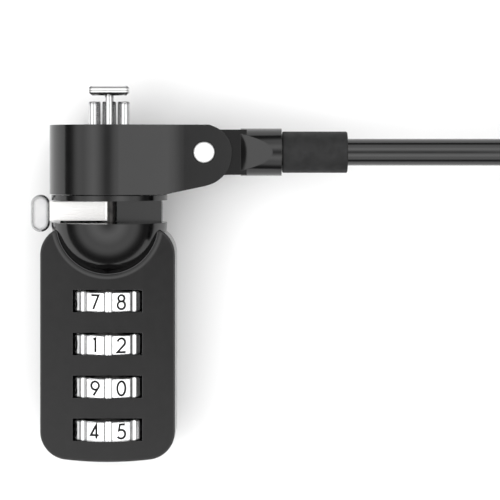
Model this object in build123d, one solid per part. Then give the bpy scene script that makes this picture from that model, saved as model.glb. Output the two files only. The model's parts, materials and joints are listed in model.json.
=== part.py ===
from build123d import *
import math
import os

# Laptop cable lock: a four-dial combination head on a swivelling clevis, with its steel cable.
#
# Frame, in millimetres: the lock axis is Y and the nose face is at y = 0, with the T-bar on the +Y
# side and the dial case on the -Y side. X points along the cable. Z is up from the surface.

# Surface that the lock lies on
FLOOR_Z = -9.8

# T-bar and the two pins beside it, for a 7 x 3 mm security slot
HEAD_TOP = 6.45
HEAD_WIDTH = 6.45
HEAD_HEIGHT = 1.6
HEAD_UNDERCUT = 0.45
HEAD_DEPTH = 2.6
HEAD_CHAMFER = 0.28
CROWN_SHARE = 0.48  # corner radius of a crowned bar, as a share of its width
STEM_WIDTH = 1.44
STEM_DEPTH = 2.1
STEM_RIB_WIDTH = 2.24
STEM_RIB_DEPTH = 1.0
PIN_OUTER_X = 3.35
PIN_INNER_X = 1.42
PIN_WIDTH = 1.57
PIN_DEPTH = 2.6
PIN_TOP = 3.85
PIN_ROOT = -3.3
PIN_RIB_HALF = 0.75
TOP_ROUND = 0.22

# Nose, neck and dome
NOSE_RADIUS = 6.6
NECK_RADIUS = 9.5
NECK_TOP = -11.42
DOME_CENTRE_Y = -15.9
SLOT_TOP = -12.3
SLOT_BOTTOM = -15.95
SLOT_FLOOR_Z = -4.2
STOP_START = 0.5
STOP_END = 8.5
STOP_TOP = -0.05
STOP_SLANT = 9.0
STOP_BORE = 1.2
PLATE_RADIUS = 7.9
PLATE_TOP = -0.08
PLATE_BOTTOM = -1.5
PLATE_BOSS_RADIUS = 4.0
PLATE_BOSS_BOTTOM = -3.5
PLATE_HOLE = 1.35
NOSE_SCREW_Z = 5.4
NOSE_SCREW_RADIUS = 0.6
NOSE_SCREW_HEAD = 1.1
NOSE_SCREW_END = -5.0
CROSS_REACH = 0.8
CROSS_HALF = 0.13
FIT = 0.03  # gap between two pieces that are fixed together

# Spindle and lever
SPINDLE_RADIUS = 2.4
SPINDLE_TOP = -3.7
SPINDLE_SHOULDER = -11.1
SPINDLE_SMALL = 1.8
SPINDLE_WAIST = 1.05
SPINDLE_END = -22.6
RUNNING = 0.1  # radial clearance of a shaft in its bore
TBAR_SHANK = 1.0
TBAR_SHANK_END = -8.0
ARM_INNER_X = -0.15
ARM_OUTER_X = -10.2
ARM_TOP = -12.5
ARM_BOTTOM = -15.7
ARM_HALF_DEPTH = 1.4
KNOB_X = -11.22
KNOB_Y = -14.46
KNOB_WIDTH = 3.1
KNOB_HEIGHT = 6.08
KNOB_HALF_DEPTH = 1.5
KNOB_CHAMFER = 0.28
ARM_END_ROUND = 0.4
LEVER_DOWEL_RADIUS = 0.45
LEVER_DOWEL_OUTER = -4.0
LEVER_DOWEL_INNER = 0.5
RIVET_RADIUS = 0.6
RIVET_INNER = -8.07

# Cam and code shaft
LOCK_TRAVEL = 1.4
CAM_PIN_RADIUS = 0.45
CAM_PIN_HALF = 2.95
CAM_PIN_Y = -20.4
CAM_SLOT_RADIUS = 0.6
CAM_SLOT_STEPS = 12
CAM_TURN = 90
TUBE_RADIUS = 3.3
TUBE_BORE = 1.95
TUBE_TOP = -17.8
TUBE_BOTTOM = -24.0
TUBE_BORE_BOTTOM = -23.2
TUBE_POCKET_TOP = -17.5
TUBE_POCKET_RADIUS = 3.45
CORE_RADIUS = 1.85
CORE_END = -52.35
KEY_WIDTH = 1.2
KEY_REACH = 3.75
FIN_REACH = 2.8
FIN_WIDTH = 1.6
FIN_THICK = 0.5
FIN_LIFT = 0.45
FIN_ROOM = 0.2

# Case
CASE_HALF_WIDTH = 10.95
CASE_HALF_DEPTH = 4.4
CASE_TOP = -16.5
CASE_BOTTOM = -54.75
CASE_END_RADIUS = 58.5
CASE_CORNER = 4.6
CASE_EDGE = 0.3
SKIRT_RADIUS = 1.3
HUB_BORE = 4.0
HUB_BORE_TOP = -24.4
HUB_BORE_BOTTOM = -52.4
SCREW_PLACES = [(-9.15, -27.4), (9.15, -27.4), (-9.15, -50.4), (9.15, -50.4)]
SCREW_RADIUS = 0.7
SCREW_HEAD = 1.2
DOWEL_RADIUS = 0.8
DOWEL_REACH = 9.3
DOWEL_HALF = 3.2
SCREW_FLAT = -4.3
SCREW_HEAD_TOP = -3.4
SCREW_TIP = 3.2
SCREW_HOLE_TOP = 3.4
HEX_RADIUS = 0.6

# Dials, sleeves and their spacers
DIAL_COUNT = 4
FIRST_DIAL_Y = -28.6
DIAL_PITCH = 6.95
DIAL_RADIUS = 6.85
DIAL_HALF = 1.635
DIAL_BORE = 4.7
DIAL_DIGITS = 10
GROOVE_WIDTH = 1.3
GROOVE_DEPTH = 0.28
DIAL_TURN = 2.5  # degrees that the rim stands turned from the case's middle line
POCKET_RADIUS = 7.15
POCKET_HALF = 1.82
SLEEVE_RADIUS = 4.65
HUB_RADIUS = 3.9
HUB_HALF = 2.7
SLEEVE_BORE = 3.0
GATE_BORE = 2.0
GATE_HALF = 0.3
SPACER_HALF = 0.6
DIAL_CHAMFER = 0.15
NOTCH_WIDTH = 0.9
NOTCH_DEPTH = 0.5
LUG_WIDTH = 0.8
LUG_LENGTH = 1.2
LUG_SHIFT = 0.8
LUG_REACH = 5.1

# Detent spring beside the dials
SPRING_X0 = 7.75
SPRING_X1 = 7.95
SPRING_HALF = 1.4
SPRING_TOP = -26.1
SPRING_BOTTOM = -52.4
SPRING_ROOM = 0.2
BUMP_X = 7.5
BUMP_RADIUS = 0.5
BUMP_TIP = 6.9

# Reset screw in the bottom end
RESET_RADIUS = 2.6
RESET_FLANGE = 3.2
RESET_TOP = -53.9
RESET_BOTTOM = -54.65
RESET_FLANGE_THICK = 0.25
COIN_SLOT_DEPTH = 0.35
COIN_SLOT_HALF = 0.35

# Swivel collar and clevis
COLLAR_RADIUS = 9.8
COLLAR_BOTTOM = -11.28
COLLAR_BORE = 6.7
COUNTERBORE_RADIUS = 8.1
COUNTERBORE_BOTTOM = -2.1
COLLAR_SLANT = 12.7
EAR_START = 11.3
EAR_TAPER = 4.0
EAR_BLEND = 16.0
PIVOT_X = 15.73
PIVOT_Y = -4.45
EAR_RADIUS = 4.45
GAP_HALF = 2.95
GAP_FLOOR_X = 11.5
CLEVIS_PIN_RADIUS = 1.72
PIVOT_HOLE_RIM = 1.92
PIVOT_RIM_DEPTH = 0.25
CHIN_X = 15.05
CHIN_Y = -4.85
CHIN_RADIUS = 5.08
COLLAR_REACH = 21.0
CLEVIS_WASHER = 3.2
CLEVIS_WASHER_THICK = 0.3
THRUST_WASHER_THICK = 0.4

# Cable terminal, sleeve and cable
TONGUE_RADIUS = 3.7
TONGUE_HALF = 2.5
BUSH_RADIUS = 2.4
BUSH_BORE = 1.77
BARREL_RADIUS = 3.9
BARREL_START = 21.6
RAMP_END = 26.8
BARREL_END = 28.3
SHANK_RADIUS = 3.0
SHANK_END = 33.0
SLEEVE_END = 39.1
CABLE_SLEEVE_RADIUS = 3.4
CABLE_RADIUS = 2.2
CABLE_START = 25.0

# Coil of the cable that is put away, and its far end
COIL_X = 102.0
COIL_WIDE = 3
COIL_LAYERS = 4
COIL_MIDDLE_RADIUS = 23.2
TIE_THICK = 0.6
TIE_WIDTH = 5.0
TIE_ANGLES = (30, 150, 270)
TAIL_TURN = 8.0  # degrees that the tail leaves the coil past its top
FERRULE_X = COIL_X + 19.0
FERRULE_LENGTH = 13.0
FERRULE_WALL = 1.3
FERRULE_LIP = 2.0  # how far in the cable's cut end stops
LOOP_HALF = 14.2

GROOVE_RADIUS = (GROOVE_WIDTH**2 / 4 + GROOVE_DEPTH**2) / (2 * GROOVE_DEPTH)
DIAL_YS = [FIRST_DIAL_Y - n * DIAL_PITCH for n in range(DIAL_COUNT)]
CABLE_DIAMETER = 2 * CABLE_RADIUS
COIL_INNER = COIL_MIDDLE_RADIUS - COIL_WIDE * CABLE_RADIUS
COIL_OUTER = COIL_MIDDLE_RADIUS + COIL_WIDE * CABLE_RADIUS
COIL_Y = PIVOT_Y - (COIL_OUTER - CABLE_RADIUS)
COIL_BOTTOM_Z = FLOOR_Z + TIE_THICK
COIL_TOP_Z = COIL_BOTTOM_Z + COIL_LAYERS * CABLE_DIAMETER
TOP_TURN_Z = COIL_TOP_Z - CABLE_RADIUS
BOTTOM_TURN_Z = COIL_BOTTOM_Z + CABLE_RADIUS
FERRULE_Z = FLOOR_Z + CABLE_RADIUS + FERRULE_WALL
LOOP_Z = FLOOR_Z + CABLE_RADIUS
FAR = 30.0  # longer than any cut has to reach


def along_x(radius, x0, x1, y=0.0, z=0.0):
    return Pos((x0 + x1) / 2, y, z) * Rot(0, 90, 0) * Cylinder(radius, abs(x1 - x0))


def along_y(radius, y0, y1, x=0.0, z=0.0):
    return Pos(x, (y0 + y1) / 2, z) * Rot(90, 0, 0) * Cylinder(radius, abs(y1 - y0))


def along_z(radius, z0, z1, x=0.0, y=0.0):
    return Pos(x, y, (z0 + z1) / 2) * Cylinder(radius, abs(z1 - z0))


def block(x0, x1, y0, y1, z0, z1):
    centre = Pos((x0 + x1) / 2, (y0 + y1) / 2, (z0 + z1) / 2)
    return centre * Box(abs(x1 - x0), abs(y1 - y0), abs(z1 - z0))


def upright(sketch, y0, y1):
    """A prism along Y from a sketch whose second coordinate is the part's Z."""
    level = Plane(origin=(0, y1, 0), x_dir=(1, 0, 0), z_dir=(0, -1, 0))
    return extrude(level * sketch, y1 - y0, dir=(0, -1, 0))


def lifted(sketch, z0, z1):
    """A prism along Z."""
    return extrude(Pos(0, 0, z0) * sketch, z1 - z0, dir=(0, 0, 1))


def turned(angle, shape):
    """The shape turned about the lock axis."""
    return Rot(0, angle, 0) * shape


def tube_along(points, radius):
    """A round tube along straight runs joined by tangent arcs."""
    radii = []
    for before, at, after in zip(points, points[1:], points[2:]):
        arriving = Vector(*at) - Vector(*before)
        leaving = Vector(*after) - Vector(*at)
        half_turn = math.radians(arriving.get_angle(leaving)) / 2
        shorter = min(arriving.length, leaving.length)
        radii.append(0.45 * shorter / math.tan(half_turn))
    path = FilletPolyline(*points, radius=radii)
    start = Plane(origin=path @ 0, z_dir=path % 0)
    print("bend radii", [round(r, 1) for r in radii], "length", round(path.length, 1))
    return sweep(start * Circle(radius), path=path)


# Lock bar: T-bar, spindle and lever


def crowned_bar(width, depth, y0, y1, x=0.0):
    """A bar along Y whose front and back are rounded."""
    section = Pos(x, 0) * RectangleRounded(width, depth, width * CROWN_SHARE)
    return upright(section, y0, y1)


def t_bar():
    bar = crowned_bar(STEM_WIDTH, STEM_DEPTH, PLATE_BOSS_BOTTOM, HEAD_TOP - HEAD_HEIGHT / 2)
    ribs = block(
        -STEM_RIB_WIDTH / 2, STEM_RIB_WIDTH / 2,
        PLATE_BOSS_BOTTOM, PIN_TOP,
        -STEM_RIB_DEPTH / 2, STEM_RIB_DEPTH / 2,
    )
    ribs = fillet(ribs.edges().filter_by(Axis.Z).group_by(Axis.Y)[-1], TOP_ROUND)
    middle = HEAD_TOP - HEAD_HEIGHT / 2
    section = Pos(0, middle) * RectangleRounded(
        HEAD_DEPTH, HEAD_HEIGHT, HEAD_HEIGHT * CROWN_SHARE
    )
    across = Plane(origin=(-HEAD_WIDTH / 2, 0, 0), x_dir=(0, 0, -1), z_dir=(1, 0, 0))
    head = extrude(across * section, HEAD_WIDTH)
    ends = Pos(0, middle, 0) * Box(HEAD_WIDTH, HEAD_HEIGHT, HEAD_DEPTH)
    ends = chamfer(ends.edges().filter_by(Axis.Z).group_by(Axis.Y)[-1], HEAD_CHAMFER)
    ends = chamfer(ends.edges().filter_by(Axis.Z).group_by(Axis.Y)[0], HEAD_UNDERCUT)
    shank = along_y(TBAR_SHANK, TBAR_SHANK_END, PLATE_BOSS_BOTTOM)
    return bar + ribs + (head & ends) + shank


def spindle():
    body = along_y(SPINDLE_RADIUS, SPINDLE_SHOULDER, SPINDLE_TOP)
    body += along_y(SPINDLE_SMALL, SLOT_TOP, SPINDLE_SHOULDER)
    body += along_y(SPINDLE_WAIST, SLOT_BOTTOM, SLOT_TOP)
    body += along_y(SPINDLE_SMALL, SPINDLE_END, SLOT_BOTTOM)
    body -= along_y(TBAR_SHANK, TBAR_SHANK_END, SPINDLE_TOP)
    body -= along_x(CAM_PIN_RADIUS, -SPINDLE_SMALL, SPINDLE_SMALL, CAM_PIN_Y)
    return body - lever_dowel()


def cam_pin():
    return along_x(CAM_PIN_RADIUS, -CAM_PIN_HALF, CAM_PIN_HALF, CAM_PIN_Y)


def lever_dowel():
    middle = (ARM_TOP + ARM_BOTTOM) / 2
    return along_x(LEVER_DOWEL_RADIUS, LEVER_DOWEL_OUTER, LEVER_DOWEL_INNER, middle)


def lever_rivet():
    return along_x(RIVET_RADIUS, KNOB_X - KNOB_WIDTH / 2, RIVET_INNER, KNOB_Y)


def knob_pill(half_depth):
    outline = Pos(KNOB_X, KNOB_Y) * Rot(0, 0, 90) * SlotOverall(KNOB_HEIGHT, KNOB_WIDTH)
    return lifted(outline, -half_depth, half_depth)


def lever_knob():
    pill = knob_pill(KNOB_HALF_DEPTH)
    rims = pill.edges().group_by(Axis.Z)[-1] + pill.edges().group_by(Axis.Z)[0]
    return chamfer(rims, KNOB_CHAMFER) - lever_rivet()


def lever_arm():
    arm = block(
        ARM_OUTER_X, ARM_INNER_X, ARM_BOTTOM, ARM_TOP, -ARM_HALF_DEPTH, ARM_HALF_DEPTH
    )
    inner = arm.edges().filter_by(Axis.Y).group_by(Axis.X)[-1]
    arm = fillet(inner, ARM_END_ROUND)
    arm -= along_y(SPINDLE_WAIST, ARM_BOTTOM, ARM_TOP)
    return arm - knob_pill(FAR) - lever_rivet() - lever_dowel()


# Housing: neck barrel, nose plate, case halves and what holds them


def anti_rotation_pin():
    middle = PIN_OUTER_X - PIN_WIDTH / 2
    post = crowned_bar(PIN_WIDTH, PIN_DEPTH, PIN_ROOT, PIN_TOP, middle)
    rib = block(PIN_INNER_X, middle, PIN_ROOT, PIN_TOP, -PIN_RIB_HALF, PIN_RIB_HALF)
    pin = post + rib
    top = pin.edges().group_by(Axis.Y)[-1]
    return fillet(top, TOP_ROUND)


def anti_rotation_pins():
    right = anti_rotation_pin()
    return [right, Rot(0, 180, 0) * right]


def nose_plate():
    plate = along_y(PLATE_RADIUS, PLATE_BOTTOM, PLATE_TOP)
    plate += along_y(PLATE_BOSS_RADIUS, PLATE_BOSS_BOTTOM, PLATE_BOTTOM)
    plate -= along_y(PLATE_HOLE, PLATE_BOSS_BOTTOM, 0)
    for pin in anti_rotation_pins():
        plate -= pin
    for screw in nose_screws():
        plate -= screw
    return plate


def nose_screw(z):
    flat = PLATE_TOP - 0.1
    low = flat - 0.3
    shank = along_y(NOSE_SCREW_RADIUS, NOSE_SCREW_END, flat, 0, z)
    cone = Cone(NOSE_SCREW_RADIUS, NOSE_SCREW_HEAD, 2 * (flat - low))
    head = Pos(0, low, z) * Rot(-90, 0, 0) * cone
    cross = block(-CROSS_REACH, CROSS_REACH, low, 0, z - CROSS_HALF, z + CROSS_HALF)
    cross += block(-CROSS_HALF, CROSS_HALF, low, 0, z - CROSS_REACH, z + CROSS_REACH)
    return shank + head - cross


def nose_screws():
    return [nose_screw(NOSE_SCREW_Z), nose_screw(-NOSE_SCREW_Z)]


def lever_stop():
    """The slanting block that fills the slot on the side that the lever doesn't sweep."""
    low = STOP_TOP - (STOP_END - STOP_START) * math.tan(math.radians(STOP_SLANT))
    section = Polygon(
        (STOP_START, SLOT_FLOOR_Z), (STOP_END, SLOT_FLOOR_Z), (STOP_END, low), (STOP_START, STOP_TOP),
        align=None,
    )
    stop = upright(section, SLOT_BOTTOM, SLOT_TOP)
    return stop - along_y(STOP_BORE, SLOT_BOTTOM, SLOT_TOP)


def neck_barrel():
    body = along_y(NOSE_RADIUS, NECK_TOP, PLATE_BOTTOM)
    body += along_y(NECK_RADIUS, DOME_CENTRE_Y, NECK_TOP)
    dome = Pos(0, DOME_CENTRE_Y, 0) * Sphere(NECK_RADIUS)
    body += dome & block(-FAR, FAR, DOME_CENTRE_Y - FAR, DOME_CENTRE_Y, -FAR, FAR)
    body -= along_y(PLATE_BOSS_RADIUS + FIT, PLATE_BOSS_BOTTOM - 0.1, 0)
    body -= along_y(SPINDLE_RADIUS + RUNNING, SPINDLE_SHOULDER - 0.1, 0)
    body -= along_y(SPINDLE_SMALL + RUNNING, TUBE_POCKET_TOP, 0)
    body -= block(-FAR, FAR, SLOT_BOTTOM, SLOT_TOP, SLOT_FLOOR_Z, FAR)
    body += lever_stop()
    body -= along_y(TUBE_POCKET_RADIUS, -FAR, TUBE_POCKET_TOP)
    body -= key_shape(KEY_WIDTH / 2 + 0.15, KEY_REACH + 0.2, -FAR, TUBE_POCKET_TOP)
    for screw in nose_screws():
        body -= screw
    for dowel in barrel_dowels():
        body -= dowel
    return body


def key_shape(half_width, reach, y0, y1):
    return block(-half_width, half_width, y0, y1, -reach, -CORE_RADIUS)


def barrel_dowels():
    side = DOWEL_REACH * math.sin(math.radians(45))
    y = DOME_CENTRE_Y - side
    return [along_z(DOWEL_RADIUS, -DOWEL_HALF, DOWEL_HALF, x, y) for x in (-side, side)]


def case_outline():
    tall = Pos(0, (CASE_TOP + CASE_BOTTOM - 1) / 2) * Rectangle(
        2 * CASE_HALF_WIDTH, CASE_TOP - CASE_BOTTOM + 1
    )
    end = Pos(0, CASE_BOTTOM + CASE_END_RADIUS) * Circle(CASE_END_RADIUS)
    outline = tall & end
    return fillet(outline.vertices(), CASE_CORNER)


def skirt():
    """The concave fillet between the front face and the dome, as a ring."""
    reach = NECK_RADIUS + SKIRT_RADIUS
    height = CASE_HALF_DEPTH + SKIRT_RADIUS
    foot = math.sqrt(reach**2 - height**2)
    share = NECK_RADIUS / reach
    lip = (foot * share, height * share)
    lean = (math.atan2(-height, -foot) + math.radians(-90)) / 2
    middle = (foot + SKIRT_RADIUS * math.cos(lean), height + SKIRT_RADIUS * math.sin(lean))
    inner = foot - 2.5
    low = CASE_HALF_DEPTH - 0.5
    edge = Polyline(lip, (inner, lip[1]), (inner, low), (foot, low), (foot, CASE_HALF_DEPTH))
    edge += ThreePointArc((foot, CASE_HALF_DEPTH), middle, lip)
    profile = Plane.XZ * make_face(edge)
    return Pos(0, DOME_CENTRE_Y, 0) * revolve(profile, Axis.Z)


def case_block():
    outline = case_outline()
    slab = lifted(outline, -CASE_HALF_DEPTH, CASE_HALF_DEPTH)
    rims = slab.edges().group_by(Axis.Z)[-1] + slab.edges().group_by(Axis.Z)[0]
    slab = fillet(rims, CASE_EDGE)
    inset = lifted(offset(outline, -CASE_EDGE), -FAR, FAR)
    ring = skirt() & inset
    slab += ring
    slab += mirror(ring, Plane.XY)
    return slab


def case_cuts():
    cuts = [Pos(0, DOME_CENTRE_Y, 0) * Sphere(NECK_RADIUS + FIT)]
    cuts += [along_y(POCKET_RADIUS, y - POCKET_HALF, y + POCKET_HALF) for y in DIAL_YS]
    cuts.append(along_y(HUB_BORE, HUB_BORE_BOTTOM, HUB_BORE_TOP))
    cuts.append(along_y(CORE_RADIUS + RUNNING, RESET_TOP, HUB_BORE_BOTTOM))
    cuts.append(along_y(RESET_RADIUS + RUNNING, -2 * FAR, RESET_TOP + RUNNING))
    flange_low = RESET_TOP - RESET_FLANGE_THICK - RUNNING
    cuts.append(along_y(RESET_FLANGE + RUNNING, flange_low, RESET_TOP + RUNNING))
    cuts.append(spring_pocket())
    cuts += barrel_dowels()
    return cuts


def spring_pocket():
    reach = SPRING_HALF + SPRING_ROOM
    low = SPRING_BOTTOM - SPRING_ROOM
    high = SPRING_TOP + SPRING_ROOM
    return block(7.0, SPRING_X1 + SPRING_ROOM, low, high, -reach, reach)


def cased():
    body = case_block()
    for cut in case_cuts():
        body -= cut
    return body


def case_screw(x, y):
    shank = along_z(SCREW_RADIUS, SCREW_HEAD_TOP, SCREW_TIP, x, y)
    head = along_z(SCREW_HEAD, SCREW_FLAT, SCREW_HEAD_TOP, x, y)
    socket = lifted(Pos(x, y) * RegularPolygon(HEX_RADIUS, 6), SCREW_FLAT, SCREW_FLAT + HEX_RADIUS)
    return shank + head - socket


def screw_hole(x, y):
    hole = along_z(SCREW_RADIUS, -CASE_HALF_DEPTH, SCREW_HOLE_TOP, x, y)
    return hole + along_z(SCREW_HEAD + FIT, -2 * CASE_HALF_DEPTH, SCREW_HEAD_TOP, x, y)


def case_half(body, front):
    side = 1 if front else -1
    half = body & block(-FAR, FAR, -3 * FAR, 0, 0, side * FAR)
    for x, y in SCREW_PLACES:
        half -= screw_hole(x, y)
    return half


def detent_spring():
    strip = block(SPRING_X0, SPRING_X1, SPRING_BOTTOM, SPRING_TOP, -SPRING_HALF, SPRING_HALF)
    for y in DIAL_YS:
        bump = along_z(BUMP_RADIUS, -1, 1, BUMP_X, y)
        strip += bump & block(BUMP_TIP, (SPRING_X0 + SPRING_X1) / 2, y - 1, y + 1, -1, 1)
    return strip


def sleeve_spacers():
    rings = []
    for y in DIAL_YS[:-1]:
        middle = y - DIAL_PITCH / 2
        ring = along_y(HUB_BORE - FIT, middle - SPACER_HALF, middle + SPACER_HALF)
        rings.append(ring - along_y(SLEEVE_BORE, middle - 1, middle + 1))
    return rings


def reset_screw():
    screw = along_y(RESET_RADIUS, RESET_BOTTOM, RESET_TOP)
    screw += along_y(RESET_FLANGE, RESET_TOP - RESET_FLANGE_THICK, RESET_TOP)
    deep = RESET_BOTTOM + COIN_SLOT_DEPTH
    return screw - block(-FAR, FAR, RESET_BOTTOM - 1, deep, -COIN_SLOT_HALF, COIN_SLOT_HALF)


# Code shaft, dials and clutch sleeves


def code_shaft():
    body = along_y(TUBE_RADIUS, TUBE_BOTTOM, TUBE_TOP)
    body += along_y(CORE_RADIUS, CORE_END, TUBE_BOTTOM)
    body += key_shape(KEY_WIDTH / 2, KEY_REACH, TUBE_BOTTOM, TUBE_BOTTOM + 2)
    for y in DIAL_YS:
        low = y + FIN_LIFT
        fin = block(0, FIN_REACH, low, low + FIN_THICK, -FIN_WIDTH / 2, FIN_WIDTH / 2)
        body += fin & along_y(FIN_REACH, low, low + FIN_THICK)
    body -= along_y(TUBE_BORE, TUBE_BORE_BOTTOM, TUBE_TOP)
    for n in range(CAM_SLOT_STEPS + 1):
        share = n / CAM_SLOT_STEPS
        hole = along_x(CAM_SLOT_RADIUS, -4, 4, CAM_PIN_Y + LOCK_TRAVEL * share)
        body -= turned(CAM_TURN * share, hole)
    return body


def dial(y):
    ring = along_y(DIAL_RADIUS, y - DIAL_HALF, y + DIAL_HALF)
    ring = chamfer(ring.edges().filter_by(GeomType.CIRCLE), DIAL_CHAMFER)
    ring -= along_y(DIAL_BORE, y - 2 * DIAL_HALF, y + 2 * DIAL_HALF)
    for n in range(DIAL_DIGITS):
        angle = 360 * n / DIAL_DIGITS
        groove = along_y(GROOVE_RADIUS, y - DIAL_HALF, y + DIAL_HALF)
        groove = Pos(0, 0, DIAL_RADIUS - GROOVE_DEPTH + GROOVE_RADIUS) * groove
        notch = Pos(0, y, DIAL_BORE) * Box(NOTCH_WIDTH, 4 * DIAL_HALF, 2 * NOTCH_DEPTH)
        ring -= turned(angle + DIAL_TURN, groove)
        ring -= turned(angle, notch)
    return ring


def clutch_sleeve(y):
    sleeve = along_y(HUB_RADIUS, y - HUB_HALF, y + HUB_HALF)
    sleeve += along_y(SLEEVE_RADIUS, y - DIAL_HALF + 0.1, y + DIAL_HALF - 0.1)
    for angle in (0, 180):
        low = y + LUG_SHIFT - LUG_LENGTH / 2
        lug = block(-LUG_WIDTH / 2, LUG_WIDTH / 2, low, low + LUG_LENGTH, HUB_RADIUS, LUG_REACH)
        sleeve += turned(angle, lug)
    sleeve -= along_y(SLEEVE_BORE, y - HUB_HALF, y - GATE_HALF)
    sleeve -= along_y(SLEEVE_BORE, y + GATE_HALF, y + HUB_HALF)
    sleeve -= along_y(GATE_BORE, y - HUB_HALF, y + HUB_HALF)
    side = FIN_WIDTH / 2 + FIN_ROOM
    return sleeve - block(0, FIN_REACH + FIN_ROOM, y - 1, y + 1, -side, side)


# Swivel collar and clevis


def ear_outline():
    """The collar and its ears seen from the front."""
    slanted = Polygon(
        (-COLLAR_RADIUS - 1, 0), (PIVOT_X, 0), (PIVOT_X, PIVOT_Y), (16.1, -9.85),
        (9.7, -11.2), (9.2, COLLAR_BOTTOM), (-COLLAR_RADIUS - 1, COLLAR_BOTTOM),
        align=None,
    )
    end = Pos(PIVOT_X, PIVOT_Y) * Circle(EAR_RADIUS)
    chin = Pos(CHIN_X, CHIN_Y) * Circle(CHIN_RADIUS)
    return lifted(slanted, -FAR, FAR) + lifted(end, -FAR, FAR) + lifted(chin, -FAR, FAR)


def ear_z(x):
    """Half the height over the ears, without the blend at their start."""
    lean = math.radians(COLLAR_SLANT)
    touch = COLLAR_RADIUS * math.sin(lean)
    wall = COLLAR_RADIUS * math.cos(lean) - (min(x, EAR_START) - touch) * math.tan(lean)
    return wall - max(x - EAR_START, 0) * math.tan(math.radians(EAR_TAPER))


def ear_walls():
    """The two walls that lean in from the collar's round to the ears, along the lock axis."""
    touch = COLLAR_RADIUS * math.sin(math.radians(COLLAR_SLANT))
    side = [(x, -ear_z(x)) for x in (touch, EAR_START, COLLAR_REACH)]
    other = [(x, -z) for x, z in reversed(side)]
    wedge = Polygon(*side, *other, align=None)
    bends = wedge.vertices().filter_by_position(Axis.X, EAR_START - 1, EAR_START + 1)
    return fillet(bends, EAR_BLEND)


def swivel_collar():
    body = along_y(COLLAR_RADIUS, COLLAR_BOTTOM, 0) + upright(ear_walls(), COLLAR_BOTTOM, 0)
    body &= ear_outline()
    body -= along_y(COLLAR_BORE, -FAR, FAR)
    body -= along_y(COUNTERBORE_RADIUS, COUNTERBORE_BOTTOM, FAR)
    body -= block(GAP_FLOOR_X, FAR, -FAR, FAR, -GAP_HALF, GAP_HALF)
    body -= along_z(CLEVIS_PIN_RADIUS, -FAR, FAR, PIVOT_X, PIVOT_Y)
    for side in (-1, 1):
        low = side * (ear_z(PIVOT_X) - PIVOT_RIM_DEPTH)
        body -= along_z(PIVOT_HOLE_RIM, low, side * FAR, PIVOT_X, PIVOT_Y)
    return body


def clevis_pin():
    half = ear_z(PIVOT_X)
    pin = along_z(CLEVIS_PIN_RADIUS, -half, half, PIVOT_X, PIVOT_Y)
    return chamfer(pin.edges().filter_by(GeomType.CIRCLE), 0.06)


def clevis_washers():
    rings = []
    for side in (-1, 1):
        low = side * (GAP_HALF - CLEVIS_WASHER_THICK)
        ring = along_z(CLEVIS_WASHER, low, side * GAP_HALF, PIVOT_X, PIVOT_Y)
        rings.append(ring - along_z(CLEVIS_PIN_RADIUS, -GAP_HALF, GAP_HALF, PIVOT_X, PIVOT_Y))
    return rings


def thrust_washer():
    high = COUNTERBORE_BOTTOM + THRUST_WASHER_THICK
    ring = along_y(COUNTERBORE_RADIUS - RUNNING, COUNTERBORE_BOTTOM, high)
    return ring - along_y(COLLAR_BORE + RUNNING, COUNTERBORE_BOTTOM, high)


# Cable end, cable and coil


def cable_terminal():
    eye = along_z(TONGUE_RADIUS, -TONGUE_HALF, TONGUE_HALF, PIVOT_X, PIVOT_Y)
    tongue = block(
        PIVOT_X, BARREL_START + 1,
        PIVOT_Y - TONGUE_RADIUS, PIVOT_Y + TONGUE_RADIUS,
        -TONGUE_HALF, TONGUE_HALF,
    )
    ramps = Plane.XZ * Polygon(
        (BARREL_START, -TONGUE_HALF), (RAMP_END, -BARREL_RADIUS), (BARREL_END, -BARREL_RADIUS),
        (BARREL_END, BARREL_RADIUS), (RAMP_END, BARREL_RADIUS), (BARREL_START, TONGUE_HALF),
        align=None,
    )
    wedge = extrude(ramps, FAR, both=True)
    body = eye + tongue
    body += along_x(BARREL_RADIUS, BARREL_START, BARREL_END, PIVOT_Y) & wedge
    body += along_x(SHANK_RADIUS, BARREL_END, SHANK_END, PIVOT_Y)
    body -= along_z(BUSH_RADIUS, -TONGUE_HALF, TONGUE_HALF, PIVOT_X, PIVOT_Y)
    return body - along_x(CABLE_RADIUS + FIT, CABLE_START, SHANK_END, PIVOT_Y)


def pivot_bush():
    bush = along_z(BUSH_RADIUS, -TONGUE_HALF, TONGUE_HALF, PIVOT_X, PIVOT_Y)
    return bush - along_z(BUSH_BORE, -TONGUE_HALF, TONGUE_HALF, PIVOT_X, PIVOT_Y)


def cable_sleeve():
    sleeve = along_x(CABLE_SLEEVE_RADIUS, BARREL_END + 0.1, SLEEVE_END, PIVOT_Y)
    sleeve = fillet(sleeve.edges().filter_by(GeomType.CIRCLE), 0.25)
    sleeve -= along_x(SHANK_RADIUS, BARREL_END, SHANK_END, PIVOT_Y)
    return sleeve - along_x(CABLE_RADIUS + FIT, BARREL_END, SLEEVE_END, PIVOT_Y)


def cable_run():
    """The cable from its terminal to the coil's top turn."""
    points = [
        (CABLE_START, PIVOT_Y, 0), (COIL_X - 41, PIVOT_Y, 0), (COIL_X - 17, PIVOT_Y, TOP_TURN_Z),
        (COIL_X - 3, PIVOT_Y, TOP_TURN_Z),
    ]
    return tube_along(points, CABLE_RADIUS) - cable_coil()


def cable_coil():
    """The outer shape of the wound turns."""
    section = Pos(COIL_MIDDLE_RADIUS, (COIL_BOTTOM_Z + COIL_TOP_Z) / 2) * RectangleRounded(
        COIL_OUTER - COIL_INNER, COIL_TOP_Z - COIL_BOTTOM_Z, CABLE_RADIUS * 0.98
    )
    return Pos(COIL_X, COIL_Y, 0) * revolve(Plane.XZ * section, Axis.Z)


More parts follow.
